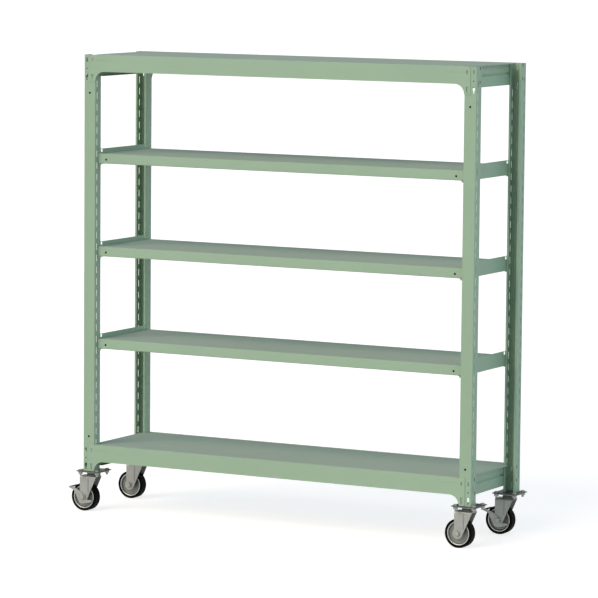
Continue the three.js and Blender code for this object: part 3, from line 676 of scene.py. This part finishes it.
class RACK_OT_swivels(bpy.types.Operator):
    """Swivel forks with pressed creases, axle bolts, and the foot brakes with dark treads"""

    bl_idname = "rack.swivels"
    bl_label = "Forks and brakes"

    crease: FloatProperty(
        name="Crease", description="Height of the pressed crease on the fork legs", default=2 * MM,
        unit="LENGTH",
    )

    def execute(self, context):
        hard = context.scene.rack_sizes.hard_edge
        for corner in CORNERS:
            refine("fork_" + corner, "swivel_" + corner, zinc_plate, hard)
            self.creases(corner)
            self.axle(corner, hard)
            if corner in BRAKED:
                refine("brake_pedal_" + corner, "pedal_" + corner, zinc_plate, hard)
                self.tread(corner)
        return {"FINISHED"}

    def creases(self, corner):
        """An upright crease on the outside of each fork leg."""
        low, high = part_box("fork_" + corner)
        pin = middle_of("kingpin_" + corner)
        size, edge = (5 * MM, self.crease, 66 * MM), 0.9 * MM
        from_pin, drop, proud = 14 * MM, 41 * MM, self.crease * 0.3
        bm = bmesh.new()
        for y, out in ((low.y, -1), (high.y, 1)):
            add_box(bm, (pin.x - from_pin, y + out * proud, high.z - drop), size)
        # The crease's duller zinc is painted shade.
        finished(bm, "crease_" + corner, "swivel_" + corner, crease_zinc_painted_shade, edge=edge)

    def axle(self, corner, hard):
        """The axle bolt, with a washer and a chamfered hexagon at either end."""
        node = "axle_" + corner
        low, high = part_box(node)
        middle = (low + high) / 2
        half = (high.y - low.y) / 2
        pin, inset = 6 * MM, 4 * MM
        washer, hexagon, chamfer = 1.6 * MM, 6.2 * MM, 1.3 * MM  # heights
        bm = bmesh.new()
        add_cone(bm, (middle.x, low.y + inset, middle.z), ACROSS, pin, pin, 2 * (half - inset))
        for out in (-1, 1):
            way = (0, out, 0)
            inner = middle.y + out * (half - washer - hexagon - chamfer)
            flats, end = inner + out * washer, inner + out * (washer + hexagon)
            add_cone(bm, (middle.x, inner, middle.z), way, 13 * MM, 13 * MM, washer, 48)
            add_cone(bm, (middle.x, flats, middle.z), way, 11 * MM, 11 * MM, hexagon, 6)
            add_cone(bm, (middle.x, end, middle.z), way, 9.4 * MM, 8.2 * MM, chamfer, 32)
        finished(bm, node + "_look", "swivel_" + corner, zinc_plate, node, hard)

    def tread(self, corner):
        """A sloping pad on the pedal's tread with five ribs across it."""
        low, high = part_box("brake_pedal_" + corner)
        axle = middle_of("axle_" + corner)
        width = high.y - low.y - 2 * MM
        slope = math.atan2(3.9, 20)  # the tread rises 3.9 mm in 20
        pad, rib = (18.6 * MM, width, 1.8 * MM), (1.4 * MM, width, 1 * MM)
        from_axle, pad_height, rib_height, pitch = -60 * MM, 42.4 * MM, 43.6 * MM, 3.6 * MM
        bm = bmesh.new()
        add_box(bm, (axle.x + from_axle, axle.y, axle.z + pad_height), pad, -slope)
        for step in range(-2, 3):
            x = from_axle + step * pitch
            z = rib_height + step * pitch * math.tan(slope)
            add_box(bm, (axle.x + x, axle.y, axle.z + z), rib, -slope)
        finished(bm, "tread_" + corner, "pedal_" + corner, black_steel_and_hole_shade, edge=0.3 * MM)


class RACK_OT_wheels(bpy.types.Operator):
    """Wheels: a pressed disc darkened as painted shade, a rim brightened as a painted highlight, and a black
    rubber tyre
    """

    bl_idname = "rack.wheels"
    bl_label = "Wheels"

    shoulder: FloatProperty(
        name="Tyre shoulder", description="Rounding of the tyre's shoulders", default=4 * MM, unit="LENGTH"
    )

    def execute(self, context):
        steps = context.scene.rack_sizes.round_steps
        for corner in CORNERS:
            self.tyre(corner, steps)
            self.disc(corner, steps)
        return {"FINISHED"}

    def tyre(self, corner, steps):
        """A tyre with a slight crown between its round shoulders."""
        node = "tyre_" + corner
        low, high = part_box(node)
        radius = (high.z - low.z) / 2 - SKIN
        half = (high.y - low.y) / 2
        inner = radius - 9.7 * MM
        heel_up, heel_in, crown = 3 * MM, 1 * MM, 3 * MM
        r = self.shoulder
        profile = [(inner, -half + heel_in), (inner + heel_up, -half), (radius - r, -half)]
        profile += arc(radius - r, -half + r, r, -90, -15, 5)[1:]
        profile += [(radius, -half + r + crown), (radius, half - r - crown)]
        profile += arc(radius - r, half - r, r, 15, 90, 5)
        profile += [(inner + heel_up, half), (inner, half - heel_in)]
        bm = turned(profile, middle_of(node), ACROSS, steps)
        finished(bm, node + "_look", "wheel_" + corner, tyre_rubber, node)

    def disc(self, corner, steps):
        """A dished disc round its hub, and the rolled rim as a piece of its own."""
        node = "wheel_disc_" + corner
        low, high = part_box(node)
        rim = (high.z - low.z) / 2
        half = (high.y - low.y) / 2
        face, curl = 19 * MM, 2.6 * MM
        seam = (44.6 * MM, 12 * MM)
        hub = [
            (6.6 * MM, half), (11.4 * MM, half), (12 * MM, half - 0.6 * MM), (13 * MM, half - 6 * MM),
            (16 * MM, 9.4 * MM), (19 * MM, 8 * MM), (34 * MM, 7.4 * MM), (41 * MM, 8.6 * MM), seam,
        ]
        bm = turned(both_sides(hub), middle_of(node), ACROSS, steps)
        # The disc's darker zinc is painted shade in its recess.
        finished(bm, node + "_look", "wheel_" + corner, disc_zinc_painted_shade, node)
        side = [seam, (45.6 * MM, face - 3 * MM)]
        side += arc(48.2 * MM, face - curl, curl, 180, 0, 8)
        side += [(rim, face - 3.4 * MM)]
        bm = turned(both_sides(side), middle_of(node), ACROSS, steps)
        # The rim's brightness is a painted highlight.
        finished(bm, "rim_" + corner, "wheel_" + corner, rim_zinc_painted_highlight)


class RACK_OT_stage(bpy.types.Operator):
    """White floor, soft light and the camera"""

    bl_idname = "rack.stage"
    bl_label = "Stage"

    # The camera was fitted to the picture; its place is in metres, in the frame of the part.
    camera_place: FloatVectorProperty(
        name="Camera place", description="Camera position", default=(7.3822, -13.6814, 2.6257), subtype="XYZ"
    )
    azimuth: FloatProperty(
        name="Azimuth", description="Camera turn about the vertical", default=math.radians(28.28),
        subtype="ANGLE",
    )
    elevation: FloatProperty(
        name="Elevation", description="Downward tilt of the camera", default=math.radians(6.12),
        subtype="ANGLE",
    )
    roll: FloatProperty(
        name="Roll", description="Camera turn about its view", default=math.radians(0.51), subtype="ANGLE"
    )
    focal_pixels: FloatProperty(
        name="Focal length", description="Focal length in pixels of the picture", default=3679.2
    )

    def execute(self, context):
        scene = context.scene
        self.floor()
        self.world(scene)
        self.lamps()
        self.camera(scene)
        scene.view_settings.view_transform = "Standard"
        return {"FINISHED"}

    def background_rays(self, tree):
        """Picks out the rays that show the background: from the camera, off gloss or through glass."""
        path = add(tree, "ShaderNodeLightPath")
        rays = path.outputs["Is Camera Ray"]
        for kind in ("Is Glossy Ray", "Is Transmission Ray"):
            both = add(tree, "ShaderNodeMath", {0: rays, 1: path.outputs[kind]}, operation="ADD")
            rays = both.outputs[0]
        return rays

    def floor(self):
        """A pale floor that keeps the rack's shadow, and looks white where nothing shades it."""
        bm = bmesh.new()
        bmesh.ops.create_grid(bm, x_segments=1, y_segments=1, size=FLOOR)
        mesh = bpy.data.meshes.new("floor")
        bm.to_mesh(mesh)
        bm.free()
        floor = link_object("floor", mesh)
        material, tree, output = new_tree("pale_floor")
        diffuse = add(tree, "ShaderNodeBsdfDiffuse", Color=linear("cccccc"))
        rays = self.background_rays(tree)
        glow = add(tree, "ShaderNodeEmission", {"Strength": rays}, Color=linear("dcd9d8"))
        both = add(tree, "ShaderNodeAddShader", {0: diffuse.outputs[0], 1: glow.outputs[0]})
        tree.links.new(both.outputs[0], output.inputs["Surface"])
        mesh.materials.append(material)

    def world(self, scene):
        """Soft light behind a white background. It is brightest at the horizon and dark overhead, which keeps
        the open top deck from being lit far more than the shelves under it."""
        world = bpy.data.worlds.new("studio")
        world.use_nodes = True
        tree = world.node_tree
        tree.nodes.clear()
        way = add(tree, "ShaderNodeTexCoord")
        height = add(tree, "ShaderNodeSeparateXYZ", {"Vector": way.outputs["Generated"]})
        horizon, overhead = (0, linear("d2ecfd")), (1, linear("20262a"))
        sky = add(tree, "ShaderNodeValToRGB", {"Fac": height.outputs["Z"]}, (horizon, overhead))
        soft = add(tree, "ShaderNodeBackground", {"Color": sky.outputs["Color"]}, Strength=1.3)
        white = add(tree, "ShaderNodeBackground", Color=linear("ffffff"))
        rays = self.background_rays(tree)
        both = add(tree, "ShaderNodeMixShader", {0: rays, 1: soft.outputs[0], 2: white.outputs[0]})
        output = add(tree, "ShaderNodeOutputWorld")
        tree.links.new(both.outputs[0], output.inputs["Surface"])
        scene.world = world

    def lamps(self):
        """A warm key from the front left and a weak fill from the right, both wide and soft."""
        # Name, direction towards the lamp, colour, strength, and width in degrees.
        for name, towards, colour, strength, spread in (
            ("key", (-0.25, -0.78, 0.62), "ffe9d1", 1.88, 45),
            ("fill", (0.9, -0.3, 0.5), "e6f2ff", 0.28, 60),
        ):
            lamp = bpy.data.lights.new(name, "SUN")
            lamp.energy = strength
            lamp.color = linear(colour)[:3]
            lamp.angle = math.radians(spread)
            holder = link_object(name, lamp)
            holder.rotation_euler = Vector(towards).to_track_quat("Z", "Y").to_euler()

    def camera(self, scene):
        """The picture's camera, from its place, its three turns and its focal length."""
        a, e, roll = self.azimuth, self.elevation, self.roll
        forward = Vector((-math.sin(a) * math.cos(e), math.cos(a) * math.cos(e), -math.sin(e)))
        right = Vector((math.cos(a), math.sin(a), 0))
        up = right.cross(forward)
        turned_right = math.cos(roll) * right + math.sin(roll) * up
        turned_up = math.cos(roll) * up - math.sin(roll) * right
        lens = bpy.data.cameras.new("camera")
        lens.sensor_width = 36
        lens.lens = self.focal_pixels / PICTURE * lens.sensor_width
        lens.clip_end = 5 * FLOOR
        holder = link_object("camera", lens)
        axes = Matrix((turned_right, turned_up, -forward)).transposed().to_4x4()
        holder.matrix_world = Matrix.Translation(Vector(self.camera_place)) @ axes
        scene.camera = holder


class RACK_PT_panel(bpy.types.Panel):
    """Sidebar panel of the rack"""

    bl_label = "Mobile steel rack"
    bl_space_type = "VIEW_3D"
    bl_region_type = "UI"
    bl_category = "Rack"

    def draw(self, context):
        column = self.layout.column()
        for group in (context.scene.rack_sizes, context.scene.rack_colours):
            for name in group.__annotations__:
                column.prop(group, name)
        for operator in OPERATORS:
            column.operator(operator.bl_idname)


OPERATORS = (
    RACK_OT_posts, RACK_OT_beams, RACK_OT_boards, RACK_OT_fasteners, RACK_OT_plates, RACK_OT_swivels,
    RACK_OT_wheels, RACK_OT_stage,
)
CLASSES = (RackSizes, RackColours, *OPERATORS, RACK_PT_panel)


def register():
    for kind in CLASSES:
        bpy.utils.register_class(kind)
    bpy.types.Scene.rack_sizes = PointerProperty(type=RackSizes)
    bpy.types.Scene.rack_colours = PointerProperty(type=RackColours)


def unregister():
    del bpy.types.Scene.rack_colours
    del bpy.types.Scene.rack_sizes
    for kind in reversed(CLASSES):
        bpy.utils.unregister_class(kind)


def main():
    register()
    bpy.ops.rack.posts()
    bpy.ops.rack.beams()
    bpy.ops.rack.boards()
    bpy.ops.rack.fasteners()
    bpy.ops.rack.plates()
    bpy.ops.rack.swivels()
    bpy.ops.rack.wheels()
    bpy.ops.rack.stage()


if __name__ == "__main__":
    main()
